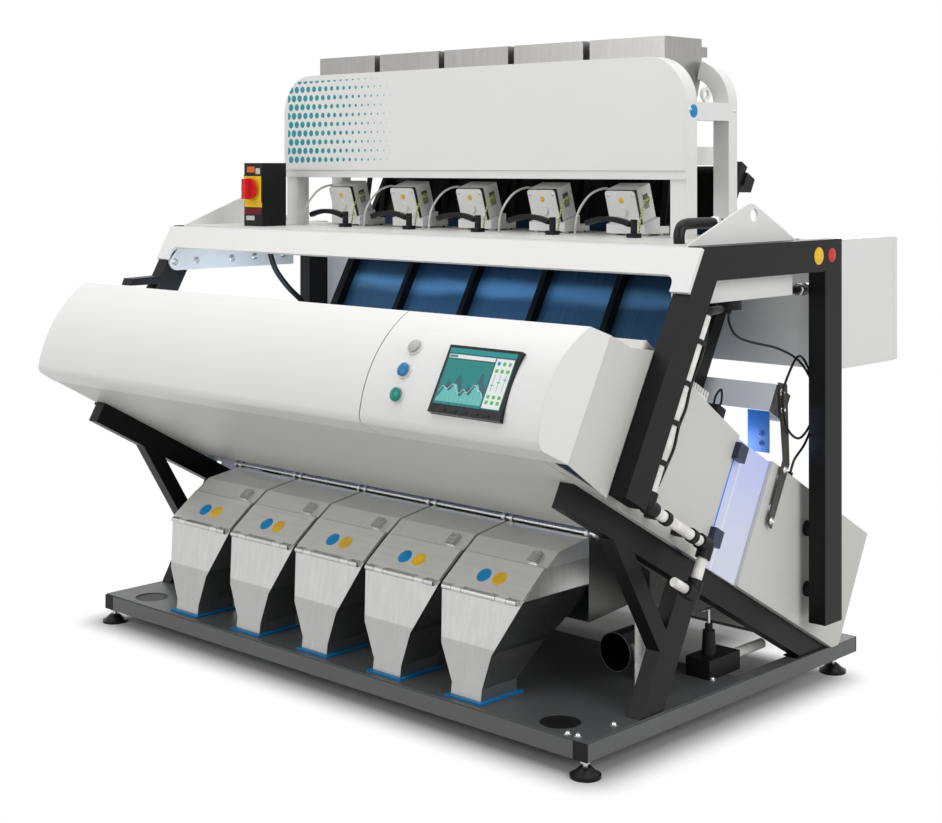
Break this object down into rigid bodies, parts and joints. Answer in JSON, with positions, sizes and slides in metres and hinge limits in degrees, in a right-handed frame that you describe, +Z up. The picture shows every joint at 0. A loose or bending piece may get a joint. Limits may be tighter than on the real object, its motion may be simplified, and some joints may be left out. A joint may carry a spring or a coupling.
{
  "type": "optical colour sorter",
  "caption": "Optical sorting machine for grain: inlet hoppers feed vibrating trays and inclined chutes through a camera gap with air jets, over a row of outlet hoppers in a tilted frame.",
  "frame": {"origin": "on the floor under the middle of the machine", "axes": "+X to the right seen from the front, +Y from the outlet hoppers to the cabinet, +Z up"},
  "size_m": [2.528, 1.8908, 2.106],
  "materials": {
    "white_paint": "satin powder coat",
    "grey_paint": "satin powder coat",
    "black_paint": "satin powder coat",
    "base_paint": "satin powder coat",
    "stainless": "brushed sheet",
    "steel": "turned and plated",
    "black_plastic": "moulded",
    "white_plastic": "moulded",
    "rubber": "moulded",
    "chute_coat": "anodised",
    "gasket": "moulded",
    "optical_glass": "clear",
    "lamp_glass": "opal",
    "haze_plastic": "translucent",
    "manifold": "anodised",
    "screen": "glossy",
    "key_grey": "moulded",
    "key_blue": "moulded",
    "key_green": "moulded",
    "knob_red": "moulded"
  },
  "bodies": {
    "machine": {"base_frame": "base_paint", "base_deck": "base_paint", "black_caps": "black_plastic", "foot_pads": "rubber", "foot_studs": "steel", "lower_frame_left": "black_paint", "lower_frame_right": "black_paint", "upper_frame_left": "black_paint", "upper_frame_right": "black_paint", "lifting_plates": "white_paint", "fascia": "white_paint", "feeder_deck": "grey_paint", "gantry_frame": "white_paint", "gantry_panel": "white_paint", "inlet_hoppers": "stainless", "feeder_trays": "stainless", "feeder_drives": "white_paint", "drive_springs": "steel", "cable_elbows": "black_plastic", "feed_chutes": "chute_coat", "chute_frame": "black_paint", "front_housing": "grey_paint", "control_panel": "white_paint", "touch_screen": "screen", "camera_boxes": "black_plastic", "lamp_bars": "lamp_glass", "optics_windows": "optical_glass", "ejector_manifold": "manifold", "gap_end_plates": "haze_plastic", "gap_clamps": "black_plastic", "rear_housing": "grey_paint", "cross_beam": "grey_paint", "outlet_hoppers": "stainless", "flap_latches": "steel", "outlet_gaskets": "gasket", "cover_rod": "steel", "collector": "grey_paint", "electrical_cabinet": "white_paint", "switch_box": "black_plastic", "air_pipes": "white_plastic", "pipe_fittings": "black_plastic", "air_filter": "black_plastic", "air_regulator": "black_plastic", "exhaust_duct": "stainless", "sensor_cord": "rubber", "feeder_leads": "rubber"},
    "front_door": {"front_door": "white_paint"},
    "button_top": {"button_top": "key_grey"},
    "button_middle": {"button_middle": "key_blue"},
    "button_bottom": {"button_bottom": "key_green"},
    "switch_knob": {"switch_knob": "knob_red"},
    "regulator_handle": {"regulator_handle": "steel"},
    "cabinet_door_left": {"cabinet_door_left": "white_paint"},
    "cabinet_door_right": {"cabinet_door_right": "white_paint", "vent_grille": "grey_paint"},
    "sample_flap_1": {"sample_flap_1": "stainless"},
    "sample_flap_2": {"sample_flap_2": "stainless"},
    "sample_flap_3": {"sample_flap_3": "stainless"},
    "sample_flap_4": {"sample_flap_4": "stainless"},
    "sample_flap_5": {"sample_flap_5": "stainless"}
  },
  "joints": [
    {"name": "flap_1_hinge", "type": "hinge", "parent": "machine", "child": "sample_flap_1", "pos_m": [-0.68, -0.56755, 0.415], "axis": [1, 0, 0], "range_deg": [0, 120]},
    {"name": "flap_2_hinge", "type": "hinge", "parent": "machine", "child": "sample_flap_2", "pos_m": [-0.34, -0.56755, 0.415], "axis": [1, 0, 0], "range_deg": [0, 120]},
    {"name": "flap_3_hinge", "type": "hinge", "parent": "machine", "child": "sample_flap_3", "pos_m": [0, -0.56755, 0.415], "axis": [1, 0, 0], "range_deg": [0, 120]},
    {"name": "flap_4_hinge", "type": "hinge", "parent": "machine", "child": "sample_flap_4", "pos_m": [0.34, -0.56755, 0.415], "axis": [1, 0, 0], "range_deg": [0, 120]},
    {"name": "flap_5_hinge", "type": "hinge", "parent": "machine", "child": "sample_flap_5", "pos_m": [0.68, -0.56755, 0.415], "axis": [1, 0, 0], "range_deg": [0, 120]},
    {"name": "front_door_hinge", "type": "hinge", "parent": "machine", "child": "front_door", "pos_m": [-0.3, -0.67521, 1.23324], "axis": [-1, 0, 0], "range_deg": [0, 60]},
    {"name": "button_top_press", "type": "slide", "parent": "machine", "child": "button_top", "axis": [0, 0.7607, -0.6491], "range_m": [0, 0.004], "stiffness_N_per_m": 900},
    {"name": "button_middle_press", "type": "slide", "parent": "machine", "child": "button_middle", "axis": [0, 0.8733, -0.4871], "range_m": [0, 0.004], "stiffness_N_per_m": 900},
    {"name": "button_bottom_press", "type": "slide", "parent": "machine", "child": "button_bottom", "axis": [0, 0.9494, -0.314], "range_m": [0, 0.004], "stiffness_N_per_m": 900},
    {"name": "switch_turn", "type": "hinge", "parent": "machine", "child": "switch_knob", "pos_m": [-0.88, -0.17955, 1.6], "axis": [0, 1, 0], "range_deg": [0, 90]},
    {"name": "regulator_turn", "type": "hinge", "parent": "machine", "child": "regulator_handle", "pos_m": [1.03, 0.10545, 0.29], "axis": [0, 0, 1], "continuous": true},
    {"name": "cabinet_left_hinge", "type": "hinge", "parent": "machine", "child": "cabinet_door_left", "pos_m": [-1.23, 0.92145, 1.239], "axis": [0, 0, 1], "range_deg": [0, 110]},
    {"name": "cabinet_right_hinge", "type": "hinge", "parent": "machine", "child": "cabinet_door_right", "pos_m": [1.23, 0.92145, 1.239], "axis": [0, 0, -1], "range_deg": [0, 110]}
  ]
}
